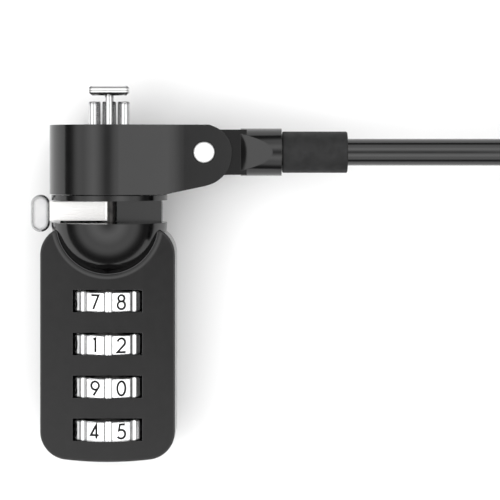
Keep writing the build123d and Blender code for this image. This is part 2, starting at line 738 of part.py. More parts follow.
def coil_tie(angle):
    """A strap around the bundle of turns."""
    outer_width = COIL_OUTER - COIL_INNER + 2 * TIE_THICK
    outer_height = COIL_TOP_Z - COIL_BOTTOM_Z + 2 * TIE_THICK
    outer = RectangleRounded(outer_width, outer_height, CABLE_RADIUS)
    place = Pos(COIL_MIDDLE_RADIUS, (COIL_BOTTOM_Z + COIL_TOP_Z) / 2)
    band = extrude(Plane.XZ * (place * outer), TIE_WIDTH / 2, both=True)
    return Pos(COIL_X, COIL_Y, 0) * Rot(0, 0, angle) * band - cable_coil()


def coil_ties():
    return [coil_tie(angle) for angle in TIE_ANGLES]


def round_coil(shape):
    """Turns a piece of the far end about the coil to where the tail leaves it."""
    return Pos(COIL_X, COIL_Y, 0) * Rot(0, 0, -TAIL_TURN) * Pos(-COIL_X, -COIL_Y, 0) * shape


def loop_ferrule():
    """The swaged oval sleeve that closes the loop at the cable's far end."""
    section = Pos(PIVOT_Y + CABLE_RADIUS, FERRULE_Z) * SlotOverall(
        2 * CABLE_DIAMETER + 2 * FERRULE_WALL, CABLE_DIAMETER + 2 * FERRULE_WALL
    )
    place = Plane(origin=(FERRULE_X, 0, 0), x_dir=(0, 1, 0), z_dir=(1, 0, 0))
    body = extrude(place * section, FERRULE_LENGTH)
    end = FERRULE_X + FERRULE_LENGTH
    hole = CABLE_RADIUS + FIT
    body -= along_x(hole, FERRULE_X, end, PIVOT_Y, FERRULE_Z)
    body -= along_x(hole, FERRULE_X + FERRULE_LIP, end, PIVOT_Y + CABLE_DIAMETER, FERRULE_Z)
    return round_coil(body)


def anchor_loop():
    """The loop at the far end, both of its legs held in the ferrule."""
    middle = PIVOT_Y + CABLE_RADIUS
    side = [
        (FERRULE_X + FERRULE_LIP, CABLE_RADIUS, FERRULE_Z),
        (COIL_X + 39, CABLE_RADIUS, FERRULE_Z), (COIL_X + 48, LOOP_HALF - 2, LOOP_Z),
        (COIL_X + 61, LOOP_HALF, LOOP_Z), (COIL_X + 71, LOOP_HALF - 7.7, LOOP_Z),
    ]
    points = [(x, middle - y, z) for x, y, z in side]
    points += [(x, middle + y, z) for x, y, z in reversed(side)]
    return round_coil(tube_along(points, CABLE_RADIUS))


def cable_tail():
    """The last stretch of the cable, from the coil's bottom turn into the ferrule."""
    points = [
        (COIL_X + 3, PIVOT_Y, BOTTOM_TURN_Z), (COIL_X + 11, PIVOT_Y, FERRULE_Z),
        (FERRULE_X + FERRULE_LIP, PIVOT_Y, FERRULE_Z),
    ]
    return round_coil(tube_along(points, CABLE_RADIUS) - cable_coil())


def write(name, made):
    shape = Compound(children=made) if isinstance(made, list) else made
    export_step(shape, f"parts/{name}.step")


def main():
    os.makedirs("parts", exist_ok=True)
    body = cased()
    nodes = {
        "cable_terminal": cable_terminal(),
        "pivot_bush": pivot_bush(),
        "cable_sleeve": cable_sleeve(),
        "cable_run": cable_run(),
        "cable_coil": cable_coil(),
        "cable_tail": cable_tail(),
        "coil_ties": coil_ties(),
        "loop_ferrule": loop_ferrule(),
        "anchor_loop": anchor_loop(),
        "swivel_collar": swivel_collar(),
        "clevis_pin": clevis_pin(),
        "clevis_washers": clevis_washers(),
        "thrust_washer": thrust_washer(),
        "neck_barrel": neck_barrel(),
        "nose_plate": nose_plate(),
        "nose_screws": nose_screws(),
        "anti_rotation_pins": anti_rotation_pins(),
        "front_case": case_half(body, True),
        "rear_case": case_half(body, False),
        "case_screws": [case_screw(x, y) for x, y in SCREW_PLACES],
        "barrel_dowels": barrel_dowels(),
        "detent_spring": detent_spring(),
        "sleeve_spacers": sleeve_spacers(),
        "t_bar": t_bar(),
        "spindle": spindle(),
        "cam_pin": cam_pin(),
        "lever_arm": lever_arm(),
        "lever_knob": lever_knob(),
        "lever_rivet": lever_rivet(),
        "lever_dowel": lever_dowel(),
        "code_shaft": code_shaft(),
        "reset_screw": reset_screw(),
    }
    for number, y in enumerate(DIAL_YS, start=1):
        nodes[f"dial_{number}"] = dial(y)
        nodes[f"clutch_sleeve_{number}"] = clutch_sleeve(y)
    for name, shape in nodes.items():
        write(name, shape)


main()
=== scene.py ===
import json
import math

import bmesh
import bpy
from mathutils import Matrix, Vector


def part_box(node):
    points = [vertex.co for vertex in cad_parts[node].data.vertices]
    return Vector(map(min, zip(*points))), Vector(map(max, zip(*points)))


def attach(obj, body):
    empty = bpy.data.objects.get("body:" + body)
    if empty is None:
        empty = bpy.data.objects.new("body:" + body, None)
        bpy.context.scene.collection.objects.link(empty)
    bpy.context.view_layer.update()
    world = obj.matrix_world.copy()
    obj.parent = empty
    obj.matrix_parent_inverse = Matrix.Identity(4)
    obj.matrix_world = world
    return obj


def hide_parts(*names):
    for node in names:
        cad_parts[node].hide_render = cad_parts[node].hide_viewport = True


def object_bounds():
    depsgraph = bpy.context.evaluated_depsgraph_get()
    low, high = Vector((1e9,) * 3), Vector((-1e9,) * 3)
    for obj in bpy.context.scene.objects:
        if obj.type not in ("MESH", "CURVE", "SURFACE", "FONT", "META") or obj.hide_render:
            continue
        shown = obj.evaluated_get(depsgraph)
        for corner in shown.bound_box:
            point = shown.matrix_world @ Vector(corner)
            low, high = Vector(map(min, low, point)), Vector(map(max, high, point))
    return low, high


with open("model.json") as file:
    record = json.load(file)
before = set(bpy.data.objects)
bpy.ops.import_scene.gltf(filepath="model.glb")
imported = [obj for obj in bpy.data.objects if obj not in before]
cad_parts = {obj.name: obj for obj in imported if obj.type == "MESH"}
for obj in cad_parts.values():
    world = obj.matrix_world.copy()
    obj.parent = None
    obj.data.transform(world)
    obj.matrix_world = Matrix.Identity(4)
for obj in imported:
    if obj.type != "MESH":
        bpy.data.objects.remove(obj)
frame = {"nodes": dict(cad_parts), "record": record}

CAD_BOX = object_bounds()
NODES = frame["nodes"]
MM = 0.001

# Cable: its radius, where it leaves its sleeve, how many turns lie beside and on each
# other in the coil, and the heights of its middle line
CABLE_RADIUS = 2.2 * MM
COIL_WIDE = 3
COIL_LAYERS = 4
AXIS_Y = -4.45 * MM
TOP_TURN_Z = 6.2 * MM
BOTTOM_TURN_Z = -7.0 * MM
FERRULE_Z = -6.3 * MM
LOOP_Z = -7.6 * MM

# Camera: straight down on the lock
CAMERA_PLACE = (0.02312, -0.00409, 0.313)
CAMERA_LENS = 137.0
CAMERA_SHIFT_Y = -0.2
CAMERA_SENSOR = 36.0
CAMERA_NEAR = 0.01
CAMERA_FAR = 20.0

# Floor and key light, in metres and watts
FLOOR_HALF = 4.0
FLOOR_GAP = 0.05 * MM
FLOOR_WHITE = 0.88
KEY_PLACE = (-0.42, -0.16, 0.50)
KEY_SIZE = 0.30
KEY_POWER = 0.8


# Camera and light


def make_camera():
    data = bpy.data.cameras.new("camera")
    data.lens = CAMERA_LENS
    data.sensor_width = CAMERA_SENSOR
    data.shift_y = CAMERA_SHIFT_Y
    data.clip_start = CAMERA_NEAR
    data.clip_end = CAMERA_FAR
    camera = bpy.data.objects.new("camera", data)
    camera.location = CAMERA_PLACE
    bpy.context.scene.collection.objects.link(camera)
    bpy.context.scene.camera = camera


# Brightness of the studio dome against the angle from straight up, in degrees
DOME_STEPS = [
    (0, 0.60), (4, 0.64), (8, 1.00), (14, 1.50), (20, 2.00), (27, 2.30), (35, 2.00), (46, 1.45),
    (58, 1.50), (65, 1.05), (71, 0.42), (78, 0.16), (86, 0.16), (90, 0.30),
]
DOME_SCALE = 2.5
HORIZON = 90


def link(tree, source, target):
    """Joins two sockets of a node tree."""
    tree.links.new(source, target)


def make_world():
    """A white dome, dim at the horizon and with a soft darker patch straight above."""
    world = bpy.data.worlds.new("studio")
    bpy.context.scene.world = world
    world.use_nodes = True
    tree = world.node_tree
    tree.nodes.clear()
    coords = tree.nodes.new("ShaderNodeTexCoord")
    split = tree.nodes.new("ShaderNodeSeparateXYZ")
    link(tree, coords.outputs["Generated"], split.inputs[0])
    angle = tree.nodes.new("ShaderNodeMath")
    angle.operation = "ARCCOSINE"
    link(tree, split.outputs["Z"], angle.inputs[0])
    share = tree.nodes.new("ShaderNodeMath")
    share.operation = "DIVIDE"
    share.inputs[1].default_value = math.pi / 2
    link(tree, angle.outputs[0], share.inputs[0])
    ramp = tree.nodes.new("ShaderNodeValToRGB")
    for place, _ in DOME_STEPS[1:-1]:
        ramp.color_ramp.elements.new(place / HORIZON)
    for element, (place, bright) in zip(ramp.color_ramp.elements, DOME_STEPS):
        element.position = place / HORIZON
        element.color = (bright / DOME_SCALE,) * 3 + (1.0,)
    link(tree, share.outputs[0], ramp.inputs[0])
    dome = tree.nodes.new("ShaderNodeBackground")
    link(tree, ramp.outputs[0], dome.inputs["Color"])
    dome.inputs["Strength"].default_value = DOME_SCALE
    plain = tree.nodes.new("ShaderNodeBackground")
    plain.inputs["Color"].default_value = (1.0, 1.0, 1.0, 1.0)
    ray = tree.nodes.new("ShaderNodeLightPath")
    mix = tree.nodes.new("ShaderNodeMixShader")
    link(tree, ray.outputs["Is Camera Ray"], mix.inputs[0])
    link(tree, dome.outputs[0], mix.inputs[1])
    link(tree, plain.outputs[0], mix.inputs[2])
    out = tree.nodes.new("ShaderNodeOutputWorld")
    link(tree, mix.outputs[0], out.inputs[0])


def make_key_light():
    """A soft light from the left, which throws the shadow to the right."""
    data = bpy.data.lights.new("key", "AREA")
    data.shape = "DISK"
    data.size = KEY_SIZE
    data.energy = KEY_POWER
    lamp = bpy.data.objects.new("key", data)
    lamp.location = KEY_PLACE
    lamp.rotation_mode = "QUATERNION"
    lamp.rotation_quaternion = lamp.location.to_track_quat("Z", "Y")
    lamp.visible_glossy = False
    bpy.context.scene.collection.objects.link(lamp)


def make_floor():
    """A plain pale sheet just under the lowest point of the part."""
    half = FLOOR_HALF
    mesh = bpy.data.meshes.new("floor")
    z = CAD_BOX[0].z - FLOOR_GAP
    corners = [(-half, -half, z), (half, -half, z), (half, half, z), (-half, half, z)]
    mesh.from_pydata(corners, [], [(0, 1, 2, 3)])
    floor = bpy.data.objects.new("floor", mesh)
    bpy.context.scene.collection.objects.link(floor)
    material = bpy.data.materials.new("floor_paper")
    material.use_nodes = True
    shader = material.node_tree.nodes["Principled BSDF"]
    shader.inputs["Base Color"].default_value = (FLOOR_WHITE, FLOOR_WHITE, FLOOR_WHITE, 1.0)
    shader.inputs["Roughness"].default_value = 0.9
    shader.inputs["Specular IOR Level"].default_value = 0.1
    mesh.materials.append(material)


# Materials


BEVEL_SAMPLES = 4
# Colour of the painted shade: dark lines painted along the edges of the plated and polished parts,
# standing in for the dark reflections and shadows there
PAINTED_SHADE_LINE = (0.01, 0.01, 0.01)
STEEL_SPREAD = 1.5  # highest roughness of a steel against its lowest


class Finish:
    """A Principled material with its colour, roughness and bump made from noise in object space."""

    def __init__(self, name, metallic=0.0, ior=1.5, specular=0.5):
        self.material = bpy.data.materials.new(name)
        self.material.use_nodes = True
        self.tree = self.material.node_tree
        self.shader = self.tree.nodes["Principled BSDF"]
        self.shader.inputs["Metallic"].default_value = metallic
        self.shader.inputs["IOR"].default_value = ior
        self.shader.inputs["Specular IOR Level"].default_value = specular
        self.coords = self.tree.nodes.new("ShaderNodeTexCoord")
        self.normal = None

    def noise(self, scale, detail=3.0, stretch=None):
        """Noise whose grains are about 1 / scale metres, drawn out along an axis if stretch says."""
        node = self.tree.nodes.new("ShaderNodeTexNoise")
        node.inputs["Scale"].default_value = scale
        node.inputs["Detail"].default_value = detail
        place = self.coords.outputs["Object"]
        if stretch:
            mapping = self.tree.nodes.new("ShaderNodeMapping")
            mapping.inputs["Scale"].default_value = stretch
            link(self.tree, place, mapping.inputs["Vector"])
            place = mapping.outputs[0]
        link(self.tree, place, node.inputs["Vector"])
        return node.outputs["Fac"]

    def ranged(self, value, low, high, start=0.3, end=0.7):
        node = self.tree.nodes.new("ShaderNodeMapRange")
        node.inputs["From Min"].default_value = start
        node.inputs["From Max"].default_value = end
        node.inputs["To Min"].default_value = low
        node.inputs["To Max"].default_value = high
        link(self.tree, value, node.inputs["Value"])
        return node.outputs[0]

    def colour(self, value, first, second, start=0.35, end=0.65):
        ramp = self.tree.nodes.new("ShaderNodeValToRGB")
        ramp.color_ramp.elements[0].position = start
        ramp.color_ramp.elements[1].position = end
        ramp.color_ramp.elements[0].color = (*first, 1.0)
        ramp.color_ramp.elements[1].color = (*second, 1.0)
        link(self.tree, value, ramp.inputs[0])
        self.base(ramp.outputs[0])

    def base(self, socket):
        link(self.tree, socket, self.shader.inputs["Base Color"])
        self.base_socket = socket

    def roughness(self, value, low, high):
        link(self.tree, self.ranged(value, low, high), self.shader.inputs["Roughness"])

    def rounded(self, radius):
        """Edges catch the light as if they were rounded to that radius."""
        node = self.tree.nodes.new("ShaderNodeBevel")
        node.samples = BEVEL_SAMPLES
        node.inputs["Radius"].default_value = radius
        self.normal = node.outputs[0]
        link(self.tree, self.normal, self.shader.inputs["Normal"])

    def paint_edge_light_and_shade(self, radius, tint, start=0.75, end=0.98):
        """Paints light and shade along the edges: the colour shifts to tint there, a painted highlight
        where the tint is lighter and painted shade where it is darker.
        """
        wide = self.tree.nodes.new("ShaderNodeBevel")
        wide.samples = BEVEL_SAMPLES
        wide.inputs["Radius"].default_value = radius
        geometry = self.tree.nodes.new("ShaderNodeNewGeometry")
        dot = self.tree.nodes.new("ShaderNodeVectorMath")
        dot.operation = "DOT_PRODUCT"
        link(self.tree, wide.outputs[0], dot.inputs[0])
        link(self.tree, geometry.outputs["Normal"], dot.inputs[1])
        edge = self.ranged(dot.outputs["Value"], 1.0, 0.0, start, end)
        mix = self.tree.nodes.new("ShaderNodeMix")
        mix.data_type = "RGBA"
        link(self.tree, edge, mix.inputs["Factor"])
        link(self.tree, self.base_socket, mix.inputs[6])
        mix.inputs[7].default_value = (*tint, 1.0)
        self.base(mix.outputs[2])

    def bump(self, value, height):
        node = self.tree.nodes.new("ShaderNodeBump")
        node.inputs["Distance"].default_value = height
        node.inputs["Strength"].default_value = 1.0
        link(self.tree, value, node.inputs["Height"])
        if self.normal:
            link(self.tree, self.normal, node.inputs["Normal"])
        self.normal = node.outputs[0]
        link(self.tree, self.normal, self.shader.inputs["Normal"])


def gloss_black():
    """Black lacquer over a zinc casting: a faint orange peel and smudges."""
    f = Finish("gloss_black", ior=1.5)
    f.colour(f.noise(160), (0.0008, 0.0008, 0.0009), (0.0018, 0.0016, 0.0017))
    f.roughness(f.noise(240, 4), 0.10, 0.16)
    f.rounded(0.12 * MM)
    # Painted highlight: the edges are painted a lighter black, standing in for the light they catch
    f.paint_edge_light_and_shade(0.16 * MM, (0.012, 0.012, 0.0125))
    f.bump(f.noise(1300, 2), 0.0016 * MM)
    return f.material


def satin_black():
    """Fine-textured satin powder coat of the case."""
    f = Finish("satin_black", ior=1.5)
    f.colour(f.noise(900, 4), (0.0016, 0.0014, 0.0015), (0.0032, 0.0029, 0.0030))
    f.roughness(f.noise(420, 4), 0.12, 0.17)
    f.rounded(0.15 * MM)
    # Painted highlight: the edges are painted a lighter black, standing in for the light they catch
    f.paint_edge_light_and_shade(0.22 * MM, (0.03, 0.03, 0.031))
    f.bump(f.noise(9000, 3), 0.0016 * MM)
    return f.material


def chrome():
    """Bright plating with polishing haze, and a painted dark reflection along its edges."""
    f = Finish("chrome", metallic=1.0)
    f.colour(f.noise(500), (0.90, 0.90, 0.91), (0.96, 0.96, 0.96))
    f.roughness(f.noise(900, 4), 0.06, 0.10)
    # Painted dark reflection: a black line painted along the edges, standing in for the dark
    # surroundings that they reflect
    f.paint_edge_light_and_shade(0.80 * MM, PAINTED_SHADE_LINE, 0.95, 0.998)
    f.rounded(0.20 * MM)
    f.bump(f.noise(2200, 2), 0.0005 * MM)
    return f.material


def knob_chrome():
    """Plating of the lever's knob, with a painted dark reflection round its chamfers."""
    f = Finish("knob_chrome", metallic=1.0)
    f.colour(f.noise(500), (0.90, 0.90, 0.91), (0.96, 0.96, 0.96))
    f.roughness(f.noise(900, 4), 0.06, 0.10)
    # Painted dark reflection: a wider black band painted round the chamfers and edges
    f.paint_edge_light_and_shade(0.90 * MM, PAINTED_SHADE_LINE, 0.93, 0.99)
    f.rounded(0.20 * MM)
    f.bump(f.noise(2200, 2), 0.0005 * MM)
    return f.material


def dial_chrome():
    """Plated dial rims, turned on a lathe: the lines run round the axis."""
    f = Finish("dial_chrome", metallic=1.0)
    f.colour(f.noise(600), (0.84, 0.84, 0.85), (0.92, 0.92, 0.92))
    f.roughness(f.noise(700, 3, (1.0, 14.0, 1.0)), 0.10, 0.17)
    # Painted dark reflection: black lines painted along the rims' edges and grooves
    f.paint_edge_light_and_shade(0.30 * MM, PAINTED_SHADE_LINE, 0.93, 0.995)
    f.rounded(0.08 * MM)
    f.bump(f.noise(900, 2, (0.4, 30.0, 0.4)), 0.0010 * MM)
    return f.material


def lever_nickel():
    """Satin nickel, brushed along the arm."""
    f = Finish("lever_nickel", metallic=1.0)
    f.colour(f.noise(700, 3, (0.2, 6.0, 6.0)), (0.91, 0.90, 0.89), (0.97, 0.96, 0.95))
    f.roughness(f.noise(1500, 3, (0.1, 5.0, 5.0)), 0.22, 0.30)
    f.rounded(0.20 * MM)
    f.bump(f.noise(2500, 2, (0.05, 4.0, 4.0)), 0.0012 * MM)
    return f.material


def steel(name, low, high, rough):
    """Machined steel between those two colours."""
    f = Finish(name, metallic=1.0)
    f.colour(f.noise(700), low, high)
    f.roughness(f.noise(1200, 4), rough, rough * STEEL_SPREAD)
    f.rounded(0.08 * MM)
    f.bump(f.noise(2500, 2), 0.0012 * MM)
    return f.material


def pin_steel():
    """Polished pin, with painted shade along its edges, the joint round its head among them."""
    f = Finish("pin_steel", metallic=1.0)
    f.colour(f.noise(700), (0.93, 0.93, 0.93), (0.98, 0.98, 0.98))
    f.roughness(f.noise(1200, 4), 0.26, 0.39)
    # Painted shade: a black line painted along the edges and the joint round the head
    f.paint_edge_light_and_shade(0.45 * MM, PAINTED_SHADE_LINE, 0.93, 0.99)
    f.rounded(0.08 * MM)
    f.bump(f.noise(2500, 2), 0.0012 * MM)
    return f.material


def bronze():
    """Turned bearing bronze, a little tarnished."""
    f = Finish("bronze", metallic=1.0)
    f.colour(f.noise(400, 4), (0.42, 0.27, 0.12), (0.60, 0.42, 0.20))
    f.roughness(f.noise(900, 4), 0.22, 0.38)
    f.rounded(0.06 * MM)
    f.bump(f.noise(1500, 3, (1.0, 8.0, 1.0)), 0.002 * MM)
    return f.material


def sleeve_rubber():
    """Matt heat-shrunk sleeve."""
    f = Finish("sleeve_rubber", ior=1.45, specular=0.40)
    f.colour(f.noise(500, 4), (0.008, 0.008, 0.0083), (0.013, 0.013, 0.0133))
    f.roughness(f.noise(800, 4), 0.62, 0.78)
    f.rounded(0.12 * MM)
    f.bump(f.noise(5000, 4), 0.006 * MM)
    return f.material


def cable_jacket():
    """Glossy black vinyl over the steel strands."""
    f = Finish("cable_jacket", ior=1.6)
    f.colour(f.noise(200, 3), (0.0008, 0.0008, 0.0009), (0.0016, 0.0016, 0.0017))
    f.roughness(f.noise(350, 4), 0.09, 0.16)
    f.bump(f.noise(500, 2), 0.004 * MM)
    return f.material


def strap_weave():
    """Woven tape: two crossed waves, with fuzz."""
    f = Finish("strap_weave", ior=1.45, specular=0.25)
    coords = f.coords.outputs["UV"]
    waves = []
    for direction in ("X", "Y"):
        wave = f.tree.nodes.new("ShaderNodeTexWave")
        wave.bands_direction = direction
        wave.inputs["Scale"].default_value = 1.0
        wave.inputs["Distortion"].default_value = 0.6
        wave.inputs["Detail"].default_value = 1.0
        link(f.tree, coords, wave.inputs["Vector"])
        waves.append(wave.outputs["Fac"])
    both = f.tree.nodes.new("ShaderNodeMath")
    both.operation = "MULTIPLY"
    link(f.tree, waves[0], both.inputs[0])
    link(f.tree, waves[1], both.inputs[1])
    f.colour(both.outputs[0], (0.012, 0.012, 0.013), (0.032, 0.032, 0.034), 0.1, 0.8)
    f.roughness(f.noise(2500, 4), 0.75, 0.95)
    f.bump(both.outputs[0], 0.08 * MM)
    f.bump(f.noise(9000, 3), 0.02 * MM)
    f.shader.inputs["Sheen Weight"].default_value = 0.2
    return f.material


def digit_enamel():
    """Black enamel in the engraved digits."""
    f = Finish("digit_enamel", ior=1.5, specular=0.15)
    f.colour(f.noise(900, 3), (0.003, 0.003, 0.003), (0.007, 0.007, 0.007))
    f.roughness(f.noise(1500, 3), 0.30, 0.45)
    f.bump(f.noise(6000, 2), 0.001 * MM)
    return f.material


def paint_nodes():
    """Every CAD node gets the finish of its material slot, or its own."""
    finishes = {
        "gloss_black": gloss_black(),
        "satin_black": satin_black(),
        "chrome": chrome(),
        "lever_nickel": lever_nickel(),
        "pin_steel": pin_steel(),
        "bright_steel": steel("bright_steel", (0.50, 0.50, 0.51), (0.66, 0.66, 0.67), 0.24),
        "dark_steel": steel("dark_steel", (0.035, 0.034, 0.034), (0.065, 0.062, 0.06), 0.26),
        "bronze": bronze(),
        "sleeve_rubber": sleeve_rubber(),
        "cable_jacket": cable_jacket(),
        "strap": strap_weave(),
    }
    own = {"lever_knob": knob_chrome()}
    own.update(dict.fromkeys(LEFT_DIGITS, dial_chrome()))
    for part in frame["record"]["subparts"]:
        name = part["node"]
        if name not in NODES:
            continue
        material = own.get(name, finishes[part["material_slot"]])
        materials = NODES[name].data.materials
        materials.clear()
        materials.append(material)
    return finishes


# Cable


RUN = [
    (25.0 * MM, AXIS_Y, 0.0),
    (61.0 * MM, AXIS_Y, 0.0),
    (85.0 * MM, AXIS_Y, TOP_TURN_Z),
    (99.0 * MM, AXIS_Y, TOP_TURN_Z),
]
TAIL_TURN = 8  # degrees that the tail and the loop stand turned about the coil
TAIL = [
    (105.0 * MM, AXIS_Y, BOTTOM_TURN_Z),
    (113.0 * MM, AXIS_Y, FERRULE_Z),
    (123.0 * MM, AXIS_Y, FERRULE_Z),
]
LOOP_MIDDLE = AXIS_Y + CABLE_RADIUS
LOOP = [
    (141.0 * MM, LOOP_MIDDLE - CABLE_RADIUS, FERRULE_Z),
    (150.0 * MM, LOOP_MIDDLE - 12.2 * MM, LOOP_Z),
    (163.0 * MM, LOOP_MIDDLE - 14.2 * MM, LOOP_Z),
    (173.0 * MM, LOOP_MIDDLE - 6.5 * MM, LOOP_Z),
    (173.0 * MM, LOOP_MIDDLE + 6.5 * MM, LOOP_Z),
    (163.0 * MM, LOOP_MIDDLE + 14.2 * MM, LOOP_Z),
    (150.0 * MM, LOOP_MIDDLE + 12.2 * MM, LOOP_Z),
    (141.0 * MM, LOOP_MIDDLE + CABLE_RADIUS, FERRULE_Z),
    (123.0 * MM, LOOP_MIDDLE + CABLE_RADIUS, FERRULE_Z),
]
STEP = 20  # degrees from one point of a turn to the next
SHIFT = 60  # degrees in which a turn moves over to the next place
COIL_TURNS = 11


def coil_box():
    low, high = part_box("cable_coil")
    centre = (low + high) / 2
    outer = (high.x - low.x) / 2
    return centre, outer, low.z, high.z


def coil_place(angle):
    """(radius, height) of the cable in the coil, after that many degrees of winding from its top turn.

    Each layer is wound across the coil in three turns. A turn moves beside the one before it in the
    last degrees of its round, and down to the next layer in the degrees just before those.
    """
    _, outer, low, high = coil_box()
    pitch = 2 * CABLE_RADIUS
    turn_length = 360 * COIL_WIDE - SHIFT
    layer = min(int(angle // turn_length), COIL_LAYERS - 1)
    along = angle - layer * turn_length
    turn = min(int(along // 360), COIL_WIDE - 1)
    share = max(0.0, (along - 360 * turn - (360 - SHIFT)) / SHIFT)
    across = float(turn)
    down = float(layer)
    if turn < COIL_WIDE - 1:
        across += math.sin(share * math.pi / 2)
    drop = (along - (turn_length - SHIFT)) / SHIFT
    if turn == COIL_WIDE - 1 and drop > 0 and layer < COIL_LAYERS - 1:
        down += 1 - math.cos(min(drop, 1.0) * math.pi / 2)
    if layer % 2:
        across = COIL_WIDE - 1 - across
    return outer - CABLE_RADIUS - across * pitch, high - CABLE_RADIUS - down * pitch


def coil_turns():
    """Control points of the wound turns, clockwise from above, which the spline touches between."""
    centre = coil_box()[0]
    reach = 1 / math.cos(math.radians(STEP / 2))
    points = []
    for angle in range(STEP // 2, 360 * COIL_TURNS, STEP):
        radius, z = coil_place(angle)
        turned = math.radians(90 - angle)
        x = centre.x + radius * reach * math.cos(turned)
        y = centre.y + radius * reach * math.sin(turned)
        points.append((x, y, z))
    return points


def far_end():
    """The points of the tail and the loop, turned about the coil."""
    centre = coil_box()[0]
    about = Matrix.Rotation(math.radians(-TAIL_TURN), 3, "Z")
    middle = Vector((centre.x, centre.y, 0))
    return [tuple(about @ (Vector(point) - middle) + middle) for point in TAIL + LOOP]


def make_cable(material):
    """The whole cable as one cord, from its sleeve through the coil to the loop's end."""
    points = RUN + coil_turns() + far_end()
    data = bpy.data.curves.new("lock_cable", "CURVE")
    data.dimensions = "3D"
    spline = data.splines.new("NURBS")
    spline.points.add(len(points) - 1)
    for point, place in zip(spline.points, points):
        point.co = (*place, 1.0)
    spline.order_u = 3
    spline.use_endpoint_u = True
    spline.resolution_u = 6
    data.bevel_depth = CABLE_RADIUS
    data.bevel_resolution = 7
    data.use_fill_caps = True
    data.materials.append(material)
    cable = bpy.data.objects.new("lock_cable", data)
    bpy.context.scene.collection.objects.link(cable)
    return cable


# Straps round the coil


BAND_THICK = 0.51 * MM
STRAP_WIDTH = 5.0 * MM
STRAP_CORNER = 2.4 * MM
STRAP_SOFTEN = 0.12 * MM
STRAP_ANGLES = (30, 150, 270)  # degrees about the coil
STRAP_OVERLAP = 9.0 * MM
TAB_SHARE = 1.2  # longest tab against half of the bundle's width
TAB_LIFT = 0.528 * MM
TAB_THICK = 0.36 * MM
TAB_WIDTH = 4.6 * MM
TAB_STEPS = 8
THREAD = 0.42 * MM


def strap_line(half_wide, half_high, corner, steps=6):
    """A closed round-cornered line about a box, as (across, up) points, from the middle of its top."""
    line = []
    for side_x, side_z, start in ((1, 1, 90), (1, -1, 0), (-1, -1, -90), (-1, 1, -180)):
        for n in range(steps + 1):
            angle = math.radians(start - 90 * n / steps)
            x = side_x * (half_wide - corner) + corner * math.cos(angle)
            z = side_z * (half_high - corner) + corner * math.sin(angle)
            line.append((x, z))
    return [(0.0, half_high)] + line + [(0.0, half_high)]


def strap_ribbon(mesh, line, thick, width, uv_layer):
    """A band of that width along a line, thick to its outer side."""
    rings = []
    length = 0.0
    for n, (x, z) in enumerate(line):
        before = Vector(line[max(n - 1, 0)])
        after = Vector(line[min(n + 1, len(line) - 1)])
        if n:
            length += (Vector(line[n]) - Vector(line[n - 1])).length
        heading = (after - before).normalized()
        out = Vector((-heading.y, heading.x))
        ring = []
        for side, lift in ((-1, 0), (1, 0), (1, 1), (-1, 1)):
            place = Vector((x, z)) + out * (lift * thick)
            ring.append(mesh.verts.new((place.x, side * width / 2, place.y)))
        rings.append((ring, length))
    across = (-1, 1, 1, -1)
    for (first, at), (second, to) in zip(rings, rings[1:]):
        for k in range(4):
            m = (k + 1) % 4
            face = mesh.faces.new((first[k], first[m], second[m], second[k]))
            values = ((at, k), (at, m), (to, m), (to, k))
            for loop, (run, corner) in zip(face.loops, values):
                loop[uv_layer].uv = (run / THREAD, across[corner] * width / 2 / THREAD)
            face.smooth = k in (0, 2)
    mesh.faces.new(reversed(rings[0][0]))
    mesh.faces.new(rings[-1][0])


def make_strap(name, angle, material):
    """A hook-and-loop tie about the bundle of turns, with its end laid over its start on top."""
    centre, outer, low, high = coil_box()
    half_wide = COIL_WIDE * CABLE_RADIUS
    half_high = (high - low) / 2
    middle_radius = outer - half_wide
    mesh = bmesh.new()
    uv_layer = mesh.loops.layers.uv.new("weave")
    line = strap_line(half_wide, half_high, STRAP_CORNER)
    strap_ribbon(mesh, line, BAND_THICK, STRAP_WIDTH, uv_layer)
    reach = min(STRAP_OVERLAP, half_wide * TAB_SHARE)
    tab_height = half_high + TAB_LIFT
    tab = [(reach * (n / TAB_STEPS - 0.5), tab_height) for n in range(TAB_STEPS + 1)]
    strap_ribbon(mesh, tab, TAB_THICK, TAB_WIDTH, uv_layer)
    bmesh.ops.recalc_face_normals(mesh, faces=mesh.faces)
    data = bpy.data.meshes.new(name)
    place = Matrix.Translation((centre.x, centre.y, (low + high) / 2))
    place = place @ Matrix.Rotation(math.radians(angle), 4, "Z")
    place = place @ Matrix.Translation((middle_radius, 0, 0))
    mesh.transform(place)
    mesh.to_mesh(data)
    mesh.free()
    data.materials.append(material)
    strap = bpy.data.objects.new(name, data)
    bpy.context.scene.collection.objects.link(strap)
    soften = strap.modifiers.new("soften", "BEVEL")
    soften.width = STRAP_SOFTEN
    soften.segments = 2
    soften.limit_method = "ANGLE"
    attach(strap, "cable")
    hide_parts("coil_ties")
    return strap


# Digits on the dials


DIGIT_HEIGHT = 2.25 * MM
DIGIT_STROKE = 0.35 * MM
DIGIT_TURN = 2.5  # degrees that the digits stand turned about the dial's axis
DIGIT_PITCH = 36  # degrees from one digit to the next
DIGIT_RUN = 0.12  # longest straight run of a stroke, in heights of a digit
DIGIT_MITRE = 0.35  # least cosine that a stroke's corner is stretched for
DIGIT_JOIN = 1e-6
DIGIT_WELD = 0.001 * MM
ROUND_STEPS = 24
DIGIT_PROUD = 0.012 * MM
DIGIT_DEEP = 0.05 * MM
LEFT_DIGITS = {"dial_1": 7, "dial_2": 1, "dial_3": 9, "dial_4": 4}


def arc(x, y, radius, start, end, high=None, steps=14):
    """Points along an arc, or an oval one where its half height differs, from one angle to another."""
    high = high or radius
    angles = [math.radians(start + (end - start) * n / steps) for n in range(steps + 1)]
    return [(x + radius * math.cos(a), y + high * math.sin(a)) for a in angles]


def circle(y, radius):
    """A full circle on the digit's middle line."""
    return arc(0, y, radius, 0, 360, steps=ROUND_STEPS)


